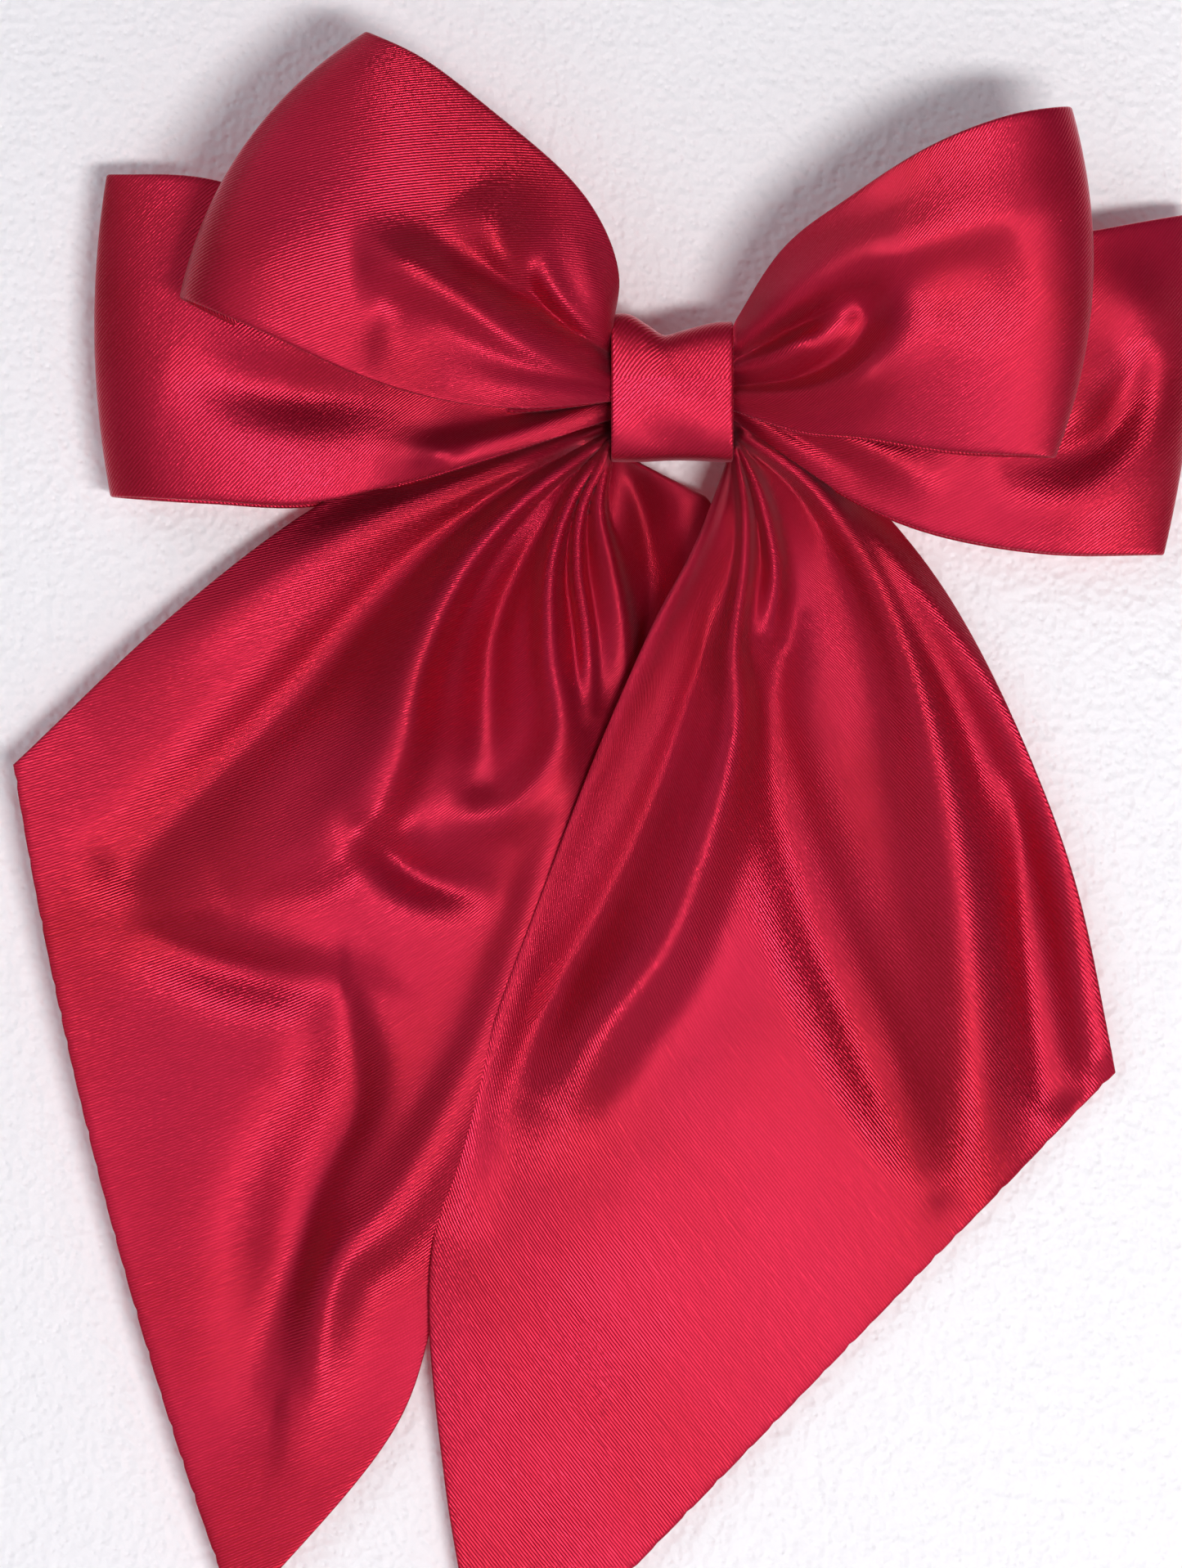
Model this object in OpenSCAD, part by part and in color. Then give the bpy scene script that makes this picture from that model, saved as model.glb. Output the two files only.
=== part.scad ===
// Satin hair bow on a French barrette, in millimetres.
// The bow faces -Y with +X to the right as it is looked at, and +Z is up.
// The origin is the middle of the space that grips the hair.

/* [Front loops] */
// Distance from the knot's edge to the fold of the front left loop
front_left_reach = 80; // [65:1:100]
// Rise of the front left loop above level
front_left_rise = 31.5; // [0:1:45]
// Lean of the front left fold towards the middle
front_left_lean = 35; // [0:1:45]
// Distance from the knot's edge to the fold of the front right loop
front_right_reach = 68; // [55:1:90]
// Rise of the front right loop above level
front_right_rise = 15; // [0:1:40]
// Lean of the front right fold towards the middle
front_right_lean = -3; // [-10:1:30]
// Half the depth of a front loop
front_puff = 10; // [6:0.5:14]
// How far the front folds stand ahead of the knot
front_sweep = 20; // [16:1:30]

/* [Back loops] */
// Distance from the knot's edge to the fold of the back left loop
back_left_reach = 105; // [85:1:125]
// Rise of the back left loop above level
back_left_rise = 5; // [-5:1:20]
// Distance from the knot's edge to the fold of the back right loop
back_right_reach = 93; // [75:1:115]
// Rise of the back right loop above level
back_right_rise = 0; // [-10:1:20]
// Lean of the back left fold towards the middle
back_left_lean = 0; // [-10:1:15]
// Lean of the back right fold towards the middle
back_right_lean = -5; // [-10:1:15]
// Half the depth of a back loop
back_puff = 8; // [5:0.5:10]
// How far the back folds lie behind the knot
back_sweep = 5; // [0:0.5:8]

/* [Cloth] */
// Width of the loop ribbon at its folds
loop_w = 68; // [55:1:85]
// Thickness of the folded loop ribbon
loop_t = 1.2; // [0.8:0.1:1.6]
// Thickness of one gathered wall of a loop in the knot
gather_t = 2.2; // [1.6:0.1:2.6]
// Thickness of the tail cloth
tail_t = 0.9; // [0.6:0.1:1.4]
// Drop of the left tail's tip below the knot
left_tail_drop = 256; // [200:1:310]
// Distance of the left tail's corner from the middle
left_tail_out = 136; // [100:1:150]
// Drop of the right tail's tip below the knot
right_tail_drop = 277; // [220:1:340]
// Distance of the right tail's corner from the middle
right_tail_out = 93; // [75:1:115]
// Diameter of the sewing thread
thread_d = 0.6; // [0.4:0.05:0.8]

/* [Knot] */
// Width of the band that wraps the knot
band_w = 25; // [18:0.5:32]
// Thickness of the folded band
band_t = 1; // [0.7:0.1:1.4]
// Height of the gathered front loops where they leave the band
front_gather_h = 18; // [14:0.5:24]
// Height of the front loops where their thread pinches them
front_pinch_h = 10.5; // [8:0.5:14]
// Height of the gathered back loops where they leave the band
back_gather_h = 17; // [12:0.5:20]
// Height of the back loops where their thread pinches them
back_pinch_h = 11.5; // [8:0.5:14]
// Height of the gathered tails in the knot
tail_gather_h = 7; // [5:0.5:10]

/* [Barrette] */
// Length of the base plate
base_l = 80; // [60:1:95]
// Width of the base plate
base_w = 10; // [8:0.5:13]
// Thickness of the base plate
base_t = 0.8; // [0.6:0.1:1.2]
// Radius that the base plate is arched to
base_r = 160; // [120:5:300]
// Room for hair between the tension bar and the clasp arm
hair_h = 5.4; // [5:0.1:8]
// Thickness of the tension bar
bar_t = 0.4; // [0.3:0.05:0.5]
// Width of the tension bar
bar_w = 5; // [4:0.5:6]
// Travel of the tension bar
bar_travel = 1; // [0.5:0.1:1.2]
// Thickness of the clasp arm
arm_t = 1; // [0.8:0.1:1.4]
// Width of the clasp arm
arm_w = 6.4; // [5.5:0.1:7]
// Diameter of the hinge pin
pin_d = 1.5; // [1.2:0.1:2]
// Thickness of the catch prongs
prong_t = 0.5; // [0.4:0.05:0.7]
// Diameter of the rivet's shank
rivet_d = 1.6; // [1.2:0.1:2]

/* [Hidden] */
$fn = 48;

satin = "crimson";
thread = "firebrick";
steel = "silver";

clear = 0.3;             // between pieces that only lie side by side
run = 0.05;              // radial clearance of a turning fit
snug = 0.02;             // radial clearance of a fixed fit
wrap = thread_d + clear; // room that a thread wound round a bundle takes
slack = 0.1;             // extra room outside a wound thread
through = 6;             // length of a cutter that passes right through a plate

edge_flat = 0.35; // how much flatter a loop is at its edges than along its middle

// Smoothing of the cloth solids: steps round a lobe, across a ribbon and along a tail
lobe_steps = 20;
ribbon_steps = 6;
tail_steps = 16;
tail_across = 14;

// Barrette, from the hair space outwards
function arch(x, r) = r - sqrt(r * r - x * x);
bar_front = -hair_h / 2 - bar_t;
band_back_out = bar_front - bar_travel - clear;
band_back_in = band_back_out - band_t;
base_in = band_back_in - clear / 2 - arch(band_w / 2, base_r);
base_mid = base_in - base_t / 2;
base_out = base_in - base_t;
function base_y(x) = base_mid + arch(x, base_r);
foot_inset = 7;
foot_x = base_l / 2 - foot_inset;
foot_grip = 0.3;
foot_w = bar_w - 1.6;
foot_slot_clear = 0.2;
bar_sag = base_in + arch(foot_x, base_r) + bar_travel + clear - bar_front;
bar_r = (foot_x * foot_x + bar_sag * bar_sag) / (2 * bar_sag);
arm_r = 600;
arm_mid = hair_h / 2 + arm_t / 2;
pin_inset = 2.5;
pin_x = pin_inset - base_l / 2;
pin_y = arm_mid - arch(pin_x, arm_r);
knuckle_wall = 0.75;
knuckle_r = pin_d / 2 + knuckle_wall;
ear_t = 0.8;
ear_gap = 0.2;
ear_wall = 0.95;
ear_r = pin_d / 2 + ear_wall;
ear_inset = 1.1;
knuckle_half = base_w / 2 - ear_inset - ear_t - ear_gap;
ear_z = knuckle_half + ear_gap;
pin_head_t = 0.45;
pin_head_r = pin_d / 2 + 0.5;
stitch_inset = 13;
stitch_edge = 1.7;
stitch_x = base_l / 2 - stitch_inset;
stitch_z = base_w / 2 - stitch_edge;
stitch_hole_d = thread_d + 0.8;
seat_gap = max(bar_travel + foot_grip - base_t, 0) + 2 * clear;

// Catch at the free end of the arm
catch_inset = 3;
catch_x = base_l / 2 - catch_inset;
prong_l = 3;
prong_z = 2.2;
bracket_t = 0.6;
bracket_half_l = 2.4;
window_clear = 0.5;
window_half_l = prong_l / 2 + window_clear;
barb_h = 0.5;
barb_l = 1;
barb_root = 0.1;
window_half_w = prong_z + prong_t + barb_h + run;
window_end = 1.4;
window_side = 1.5;
head_half_w = max(base_w / 2, window_half_w + window_side);
arm_end = catch_x + window_half_l + window_end;
arm_head_start = catch_x - window_half_l - window_end;
prong_foot_y = base_y(catch_x + prong_l) + base_t / 2 + clear / 2;
prong_root_h = 1;
tab_start = arm_end + 2 * clear;
tab_l = 2.6;
tab_rise = 0.4;
arm_back = arm_mid + arm_t / 2;
barb_y = arm_back + slack;
rivet_flange = 0.5;
rivet_head_t = 0.4;

// Bundles in the knot, from the barrette forwards
wall_half = gather_t / 2 + clear;
bundle_half = wall_half + gather_t / 2;
back_z0 = -6;
front_lift = 1.2;
back_z1 = back_z0 + back_gather_h;
tail_z1 = back_z0 - 2 * wrap;
tail_z0 = tail_z1 - tail_gather_h;
front_z0 = back_z0 + front_lift;
front_z1 = front_z0 + front_gather_h;
back_y = base_out - wrap - slack - bundle_half;
front_y = back_y - 2 * bundle_half - 2 * wrap - slack;
tail_gather_d = 2.6;
thread_turns = 4;
pinch_x = thread_turns * (thread_d + run) / 2 + clear; // half the length that a thread pinches
left_tail_y = band_back_in - wrap - slack - tail_gather_d / 2;
right_tail_y = left_tail_y - tail_gather_d - clear;
band_front_in = front_y - bundle_half - wrap - slack;
band_z0 = tail_z0 - wrap - 2 * slack;
band_z1 = max(front_z1, back_z1) + wrap + 2 * slack;
band_corner = 1.5;
thread_corner = band_corner - thread_d - slack;
knot_x = band_w / 2;
rest_y = hair_h / 2 + 0.6; // where the tails lie, level with the clasp arm
fan_start = 2.4;           // straight cloth beyond the band before a tail fans out

// ---- Cloth ----
function mix(a, b, t) = a + (b - a) * t;
function ramp(t) = let (s = min(max(t, 0), 1)) s * s * (3 - 2 * s);
function bend(a, b, c, t) = (1 - t) * (1 - t) * a + 2 * t * (1 - t) * b + t * t * c;
function sweep(a, b, c, d, t) = mix(bend(a, b, c, t), bend(b, c, d, t), t);
function unit(v) = v / norm(v);

// A lobe's outline in X and Z, between its bottom edge (v = 0) and its top edge (v = 1), and
// from the knot (a = 0) to its fold (a = 1).
// lobe = [side, reach, rise, lean, lower belly, upper belly, fold bulge]
function lobe_edge(lobe, z, end, belly, a) =
    let (
        side = lobe[0], reach = lobe[1], rise = lobe[2], lean = lobe[3],
        start = [side * knot_x, z],
        middle = [side * (knot_x + reach * cos(rise)), reach * sin(rise)],
        corner = middle + end * loop_w / 2 * [-side * sin(lean), cos(lean)],
        chord = unit(corner - start),
        out = end * side * [-chord[1], chord[0]]
    )
    bend(start, (start + corner) / 2 + 2 * belly * out, corner, a);

function lobe_xz(lobe, z0, z1, a, v) =
    mix(lobe_edge(lobe, z0, -1, lobe[4], a), lobe_edge(lobe, z1, 1, lobe[5], a), v)
    + lobe[6] * 4 * v * (1 - v) * a * a * [lobe[0] * cos(lobe[2]), sin(lobe[2])];

// Round a lobe from its front wall (turn = 0) over the fold (180) to its back wall (360)
function lobe_point(lobe, z0, z1, y, puff, shift, back_limit, turn, v) =
    let (
        a = sin(turn / 2),
        xz = lobe_xz(lobe, z0, z1, a, v),
        crown = 1 - edge_flat * (2 * v - 1) * (2 * v - 1),
        depth = y + shift * a - wall_half * cos(turn / 2) - puff * crown * sin(turn),
        seat = turn > 180 && abs(xz[0]) < base_l / 2
            ? base_out + arch(xz[0], base_r) - seat_gap - mix(gather_t, loop_t, ramp(a * 4)) / 2
            : back_limit
    )
    [xz[0], min(depth, seat), xz[1]];

// The closed ring of points that one ribbon follows: across the pinched middle to the right lobe,
// round it, back across the middle, and round the left lobe
function ring(left, right, z0, z1, pinch_h, y, puff, shift, j) =
    let (v = j / ribbon_steps, n = lobe_steps, limit = rest_y, pinch_z = z0 + pinch_h * v)
    [
        [-pinch_x, y - wall_half, pinch_z],
        [pinch_x, y - wall_half, pinch_z],
        for (i = [0 : n]) lobe_point(right, z0, z1, y, puff, shift, limit, 360 * i / n, v),
        [pinch_x, y + wall_half, pinch_z],
        [-pinch_x, y + wall_half, pinch_z],
        for (i = [0 : n]) lobe_point(left, z0, z1, y, puff, shift, limit, 360 - 360 * i / n, v)
    ];

// Wall thickness at each point of the ring
function ring_t(k) =
    let (n = lobe_steps, i = k % (n + 3) - 2)
    i < 0 ? gather_t : mix(gather_t, loop_t, ramp(4 * sin(180 * i / n)));

// A closed ribbon of the given thickness on rows of points: rows run round the ring
module closed_ribbon(rows) {
    n = len(rows[0]);
    m = len(rows);
    normals = [
        for (j = [0 : m - 1]) [
            for (i = [0 : n - 1])
                let (
                    along = rows[j][(i + 1) % n] - rows[j][(i + n - 1) % n],
                    across = rows[min(j + 1, m - 1)][i] - rows[max(j - 1, 0)][i]
                )
                unit(cross(along, across))
        ]
    ];
    points = [
        for (s = [-1, 1]) for (j = [0 : m - 1]) for (i = [0 : n - 1])
            rows[j][i] + s * ring_t(i) / 2 * normals[j][i]
    ];
    function at(s, j, i) = (s * m + j) * n + i % n;
    faces = [
        for (j = [0 : m - 2]) for (i = [0 : n - 1]) each [
            [at(0, j, i), at(0, j, i + 1), at(0, j + 1, i + 1)],
            [at(0, j, i), at(0, j + 1, i + 1), at(0, j + 1, i)],
            [at(1, j, i), at(1, j + 1, i + 1), at(1, j, i + 1)],
            [at(1, j, i), at(1, j + 1, i), at(1, j + 1, i + 1)]
        ],
        for (i = [0 : n - 1]) each [
            [at(0, 0, i), at(1, 0, i + 1), at(0, 0, i + 1)],
            [at(0, 0, i), at(1, 0, i), at(1, 0, i + 1)],
            [at(0, m - 1, i), at(0, m - 1, i + 1), at(1, m - 1, i + 1)],
            [at(0, m - 1, i), at(1, m - 1, i + 1), at(1, m - 1, i)]
        ]
    ];
    polyhedron(points, faces);
}

// An open sheet: rows run from the knot outwards, and each row goes across
module sheet(rows, thick) {
    m = len(rows);
    n = len(rows[0]);
    points = [
        for (s = [-1, 1]) for (j = [0 : m - 1]) for (i = [0 : n - 1])
            let (
                along = rows[min(j + 1, m - 1)][i] - rows[max(j - 1, 0)][i],
                across = rows[j][min(i + 1, n - 1)] - rows[j][max(i - 1, 0)]
            )
            rows[j][i] + s * thick[j] / 2 * unit(cross(across, along))
    ];
    function at(s, j, i) = (s * m + j) * n + i;
    function quad(a, b, c, d) = [[a, b, c], [a, c, d]];
    faces = [
        for (j = [0 : m - 2]) for (i = [0 : n - 2]) each concat(
            quad(at(0, j, i), at(0, j, i + 1), at(0, j + 1, i + 1), at(0, j + 1, i)),
            quad(at(1, j, i), at(1, j + 1, i), at(1, j + 1, i + 1), at(1, j, i + 1))
        ),
        for (i = [0 : n - 2]) each concat(
            quad(at(0, 0, i), at(1, 0, i), at(1, 0, i + 1), at(0, 0, i + 1)),
            quad(at(0, m - 1, i), at(0, m - 1, i + 1), at(1, m - 1, i + 1), at(1, m - 1, i))
        ),
        for (j = [0 : m - 2]) each concat(
            quad(at(0, j, 0), at(0, j + 1, 0), at(1, j + 1, 0), at(1, j, 0)),
            quad(at(0, j, n - 1), at(1, j, n - 1), at(1, j + 1, n - 1), at(0, j + 1, n - 1))
        )
    ];
    polyhedron(points, faces);
}

front_left = [-1, front_left_reach, front_left_rise, front_left_lean, 4, 9, 2];
front_right = [1, front_right_reach, front_right_rise, front_right_lean, 1, 8, 5];
back_left = [-1, back_left_reach, back_left_rise, back_left_lean, 5, 2, 2];
back_right = [1, back_right_reach, back_right_rise, back_right_lean, 7, 2, 3];

module front_loops() {
    color(satin)
        closed_ribbon([
            for (j = [0 : ribbon_steps])
                ring(
                    front_left, front_right, front_z0, front_z1, front_pinch_h,
                    front_y, front_puff, -front_sweep, j
                )
        ]);
}

module back_loops() {
    color(satin)
        closed_ribbon([
            for (j = [0 : ribbon_steps])
                ring(
                    back_left, back_right, back_z0, back_z1, back_pinch_h,
                    back_y, back_puff, back_sweep, j
                )
        ]);
}

// One tail: gathered through the knot from x_start, then fanning out between two edge curves
// inner and outer are the control points of the edges in X and Z after the knot.
function tail_rows(side, inner, outer, y, lie_in, lie_out, waves, wave_h) =
    let (
        out_x = side * (knot_x + fan_start),
        knot_in = [out_x, tail_z0],
        knot_out = [out_x, tail_z1]
    )
    concat(
        [for (x = [1 - knot_x, knot_x]) [
            for (i = [0 : tail_across])
                [side * x, y, mix(tail_z0, tail_z1, i / tail_across)]
        ]],
        [for (j = [0 : tail_steps]) [
            for (i = [0 : tail_across])
                let (
                    u = i / tail_across,
                    t = j / tail_steps,
                    e0 = sweep(knot_in, inner[0], inner[1], inner[2], t),
                    e1 = sweep(knot_out, outer[0], outer[1], outer[2], t),
                    xz = mix(e0, e1, u),
                    fold = wave_h * ramp(3 * t) * sin(180 * u) * (1 + cos(360 * waves * u + 60 * t)) / 2,
                    lie = mix(lie_in, lie_out, u)
                )
                [xz[0], mix(y, lie, ramp(3 * t)) - fold, xz[1]]
        ]]
    );

tail_thick = [
    for (j = [0 : tail_steps + 2]) mix(tail_gather_d, tail_t, ramp((j - 2) / 3))
];

module left_tail() {
    drop = left_tail_drop;
    out = left_tail_out;
    inner = [[4, -0.3 * drop], [-42, -0.78 * drop], [-0.66 * out, -drop]];
    outer = [[-0.37 * out, -18], [-0.74 * out, -38], [-out, -0.31 * drop]];
    color(satin)
        sheet(tail_rows(-1, inner, outer, left_tail_y, rest_y - 1, rest_y, 3, 2.5), tail_thick);
}

module right_tail() {
    drop = right_tail_drop;
    out = right_tail_out;
    inner = [[-12, -0.22 * drop], [-75, -0.65 * drop], [-38, -drop]];
    outer = [[0.46 * out, -28], [0.88 * out, -75], [out, -0.53 * drop]];
    color(satin)
        sheet(tail_rows(1, inner, outer, right_tail_y, rest_y - 6, rest_y - 1, 3, 3), tail_thick);
}

// A rectangle with rounded corners
module rounded(y0, y1, z0, z1, r) {
    translate([y0 + r, z0]) square([y1 - y0 - 2 * r, z1 - z0]);
    translate([y0, z0 + r]) square([y1 - y0, z1 - z0 - 2 * r]);
    for (y = [y0 + r, y1 - r], z = [z0 + r, z1 - r])
        translate([y, z]) circle(r);
}

// A ring of rounded rectangular section round a bundle that runs along X
module wrap_ring(x, w, y0, y1, z0, z1, r, t) {
    translate([x - w / 2, 0, 0])
        rotate([90, 0, 90])
            linear_extrude(w)
                difference() {
                    rounded(y0 - t, y1 + t, z0 - t, z1 + t, r + t);
                    rounded(y0, y1, z0, z1, r);
                }
}

module centre_band() {
    color(satin)
        wrap_ring(0, band_w, band_front_in, band_back_in, band_z0, band_z1, band_corner, band_t);
}

// Turns of thread side by side round a bundle
module gather_thread(y0, y1, z0, z1) {
    color(thread)
        for (k = [0 : thread_turns - 1])
            wrap_ring(
                (k - (thread_turns - 1) / 2) * (thread_d + run), thread_d,
                y0 - clear, y1 + clear, z0 - clear, z1 + clear, thread_corner, thread_d
            );
}

module front_gather_thread() {
    gather_thread(front_y - bundle_half, front_y + bundle_half, front_z0, front_z0 + front_pinch_h);
}

module back_gather_thread() {
    gather_thread(back_y - bundle_half, back_y + bundle_half, back_z0, back_z0 + back_pinch_h);
}

module tail_gather_thread() {
    gather_thread(
        right_tail_y - tail_gather_d / 2, left_tail_y + tail_gather_d / 2, tail_z0, tail_z1
    );
}

// A row of small stitches that closes the lapped ends of the band, on its back below the plate
module band_seam_stitches() {
    count = 5;
    margin = 3;
    pitch = (band_w - 2 * margin) / (count - 1);
    stitch_l = 3;
    slant = 35;
    color(thread)
        for (k = [0 : count - 1])
            translate([margin + k * pitch - band_w / 2, band_back_out + thread_d / 2, band_z0 + 4])
                rotate([0, slant, 0]) cylinder(d = thread_d, h = stitch_l, center = true);
}

// ---- Barrette ----
// A strip of sheet metal arched along X: bulge = -1 arches it towards -Y and 1 towards +Y.
// Its child is the strip's 2D outline in X and Z.
module arched_strip(mid, r, t, bulge) {
    intersection() {
        translate([0, mid - bulge * r, 0])
            difference() {
                cylinder(r = r + t / 2, h = 4 * base_w, center = true, $fn = 180);
                cylinder(r = r - t / 2, h = 5 * base_w, center = true, $fn = 180);
            }
        translate([0, mid - bulge * base_l / 4, 0])
            rotate([90, 0, 0])
                linear_extrude(base_l / 2 + 4 * t, center = true)
                    children();
    }
}

// A rounded bar outline centred on the X axis
module strip_outline(x0, x1, w) {
    r = w / 2 - 0.01;
    translate([x0 + r, -w / 2]) square([x1 - x0 - 2 * r, w]);
    for (x = [x0 + r, x1 - r]) translate([x, 0]) circle(w / 2);
}

// Puts its child on the base plate at x, with the child's Z square to the plate towards the hair
module on_base(x) {
    translate([x, base_y(x), 0])
        rotate([0, 0, asin(x / base_r)])
            rotate([-90, 0, 0])
                children();
}

module rivet_hole() {
    on_base(catch_x) cylinder(d = rivet_d + 2 * snug, h = through, center = true);
}

module hinge_ear() {
    ear_toe = pin_x + ear_r + 1;
    ear_heel = clear - base_l / 2;
    linear_extrude(ear_t)
        difference() {
            union() {
                translate([pin_x, pin_y]) circle(ear_r);
                polygon([
                    [pin_x - ear_r, pin_y], [pin_x + ear_r, pin_y],
                    [ear_toe, base_y(ear_toe)], [ear_heel, base_y(ear_heel)]
                ]);
            }
            translate([pin_x, pin_y]) circle(pin_d / 2 + snug);
        }
}

module clip_base() {
    color(steel) {
        difference() {
            arched_strip(base_mid, base_r, base_t, -1)
                strip_outline(-base_l / 2, base_l / 2, base_w);
            for (x = [-stitch_x, stitch_x], z = [-stitch_z, stitch_z])
                translate([0, 0, z]) on_base(x) cylinder(d = stitch_hole_d, h = through, center = true);
            for (x = [-foot_x, foot_x])
                translate([x, base_y(x), 0])
                    cube([bar_t + 2 * foot_slot_clear, through, foot_w + 2 * foot_slot_clear], center = true);
            rivet_hole();
        }
        for (s = [-1, 1])
            translate([0, 0, s > 0 ? ear_z : -ear_z - ear_t]) hinge_ear();
    }
}

// Thread that ties each end of the base plate to the back loops
module clip_stitches() {
    top = base_y(stitch_x) + base_t / 2 + thread_d / 2 + snug;
    cloth = lobe_point(
        back_right, back_z0, back_z1, back_y, back_puff, back_sweep, rest_y,
        360 - 2 * asin((stitch_x - knot_x) / back_right_reach), 0.5
    )[1];
    bottom = cloth - gather_t / 2 - thread_d;
    color(thread)
        for (x = [-stitch_x, stitch_x]) {
            for (y = [top, bottom])
                translate([x, y, 0]) cylinder(d = thread_d, h = 2 * stitch_z, center = true);
            for (z = [-stitch_z, stitch_z])
                translate([x, bottom, z]) {
                    rotate([-90, 0, 0]) cylinder(d = thread_d, h = top - bottom);
                    sphere(d = thread_d);
                    translate([0, top - bottom, 0]) sphere(d = thread_d);
                }
        }
}

module hinge_pin() {
    half = ear_z + ear_t + run;
    color(steel)
        translate([pin_x, pin_y, 0]) {
            cylinder(d = pin_d, h = 2 * half + pin_head_t, center = true);
            for (s = [-1, 1])
                translate([0, 0, s * (half + pin_head_t / 2)])
                    cylinder(r = pin_head_r, h = pin_head_t, center = true);
        }
}

module clasp_arm() {
    neck_end = pin_x + knuckle_r + 2;
    lap = 1;
    color(steel)
        difference() {
            union() {
                arched_strip(arm_mid, arm_r, arm_t, 1) {
                    translate([pin_x, -knuckle_half])
                        square([neck_end - pin_x + lap, 2 * knuckle_half]);
                    translate([neck_end, -arm_w / 2])
                        square([arm_head_start - neck_end + lap, arm_w]);
                    translate([arm_head_start, -head_half_w])
                        square([arm_end - arm_head_start, 2 * head_half_w]);
                }
                translate([pin_x, pin_y, 0])
                    cylinder(r = knuckle_r, h = 2 * knuckle_half, center = true);
            }
            translate([pin_x, pin_y, 0])
                cylinder(d = pin_d + 2 * run, h = base_w, center = true);
            translate([catch_x - window_half_l, 0, -window_half_w])
                cube([2 * window_half_l, through, 2 * window_half_w]);
        }
}

module tension_bar() {
    foot_end = base_y(foot_x) + base_t / 2 - foot_grip;
    foot_top = bar_front + arch(foot_x, bar_r) + bar_t / 2;
    color(steel) {
        arched_strip(bar_front + bar_t / 2, bar_r, bar_t, -1)
            translate([-foot_x - bar_t / 2, -bar_w / 2])
                square([2 * foot_x + bar_t, bar_w]);
        for (x = [-foot_x, foot_x])
            translate([x - bar_t / 2, foot_end, -foot_w / 2])
                cube([bar_t, foot_top - foot_end, foot_w]);
    }
}

// Foot of the catch: it lies on the base plate and the rivet holds it
module catch_bracket() {
    half_w = prong_z - clear / 2;
    color(steel)
        difference() {
            arched_strip(base_in + bracket_t / 2 + 2 * snug, base_r, bracket_t, -1)
                translate([catch_x - bracket_half_l, -half_w])
                    square([2 * bracket_half_l, 2 * half_w]);
            rivet_hole();
        }
}

// Spring prong beside the bracket: an upright that passes through the arm's window and carries
// a barb, and a finger tab beyond the arm's end
module catch_prong(side) {
    mirror([0, 0, side < 0 ? 1 : 0])
        color(steel) {
            translate([0, 0, prong_z])
                linear_extrude(prong_t)
                    union() {
                        translate([catch_x - prong_l / 2, prong_foot_y])
                            square([tab_start + tab_l - catch_x + prong_l / 2, prong_root_h]);
                        translate([catch_x - prong_l / 2, prong_foot_y])
                            square([prong_l, barb_y + barb_l + barb_root - prong_foot_y]);
                        translate([tab_start, prong_foot_y])
                            square([tab_l, barb_y + tab_rise - prong_foot_y]);
                    }
            translate([catch_x - prong_l / 2, 0, prong_z + prong_t])
                rotate([90, 0, 90])
                    linear_extrude(prong_l)
                        polygon([
                            [barb_y, -barb_root], [barb_y, barb_h],
                            [barb_y + barb_l, 0], [barb_y + barb_l, -barb_root]
                        ]);
        }
}

module catch_prong_upper() {
    catch_prong(1);
}

module catch_prong_lower() {
    catch_prong(-1);
}

module catch_rivet() {
    inner = base_t / 2 + 3 * snug + bracket_t;
    outer = base_t / 2 + snug;
    head_r = rivet_d / 2 + rivet_flange;
    crown_r = head_r - 0.3;
    color(steel)
        on_base(catch_x) {
            translate([0, 0, -outer - rivet_head_t / 2])
                cylinder(d = rivet_d, h = outer + inner + rivet_head_t);
            translate([0, 0, inner]) cylinder(r1 = head_r, r2 = crown_r, h = rivet_head_t);
            translate([0, 0, -outer - rivet_head_t]) cylinder(r1 = crown_r, r2 = head_r, h = rivet_head_t);
        }
}

front_loops();
back_loops();
left_tail();
right_tail();
centre_band();
front_gather_thread();
back_gather_thread();
tail_gather_thread();
band_seam_stitches();
clip_base();
clip_stitches();
hinge_pin();
clasp_arm();
tension_bar();
catch_bracket();
catch_prong_upper();
catch_prong_lower();
catch_rivet();
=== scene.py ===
"""Red satin hair bow with long tails, sewn to a French barrette."""

import bpy
import numpy as np
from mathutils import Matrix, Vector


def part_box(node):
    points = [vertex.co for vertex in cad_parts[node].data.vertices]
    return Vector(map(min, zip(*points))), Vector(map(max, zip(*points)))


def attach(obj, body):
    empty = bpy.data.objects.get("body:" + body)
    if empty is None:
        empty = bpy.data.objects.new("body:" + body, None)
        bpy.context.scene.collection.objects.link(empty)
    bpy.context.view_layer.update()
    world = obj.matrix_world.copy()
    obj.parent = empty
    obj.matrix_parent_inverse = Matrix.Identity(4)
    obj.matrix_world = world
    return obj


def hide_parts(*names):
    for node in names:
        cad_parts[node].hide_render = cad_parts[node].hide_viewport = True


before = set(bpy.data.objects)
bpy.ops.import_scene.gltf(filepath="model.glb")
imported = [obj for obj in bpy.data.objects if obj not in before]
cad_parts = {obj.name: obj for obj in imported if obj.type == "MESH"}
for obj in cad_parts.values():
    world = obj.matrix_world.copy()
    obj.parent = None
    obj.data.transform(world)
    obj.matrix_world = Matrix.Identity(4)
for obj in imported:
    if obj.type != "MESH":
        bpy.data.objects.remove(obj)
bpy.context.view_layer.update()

# ---- Camera, backdrop, floor and light ----
# The bow is looked at square on, with its tails hanging. Just behind it is a pale leather-grained
# backdrop that is only seen from the front, and below it a plain floor. A large soft lamp stands to the
# lower right of the camera, so the shadows fall to the upper left.
mm = 0.001
scene = bpy.context.scene
scene.view_settings.view_transform = "Standard"
view_x, view_z = -16.6 * mm, -83 * mm
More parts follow.
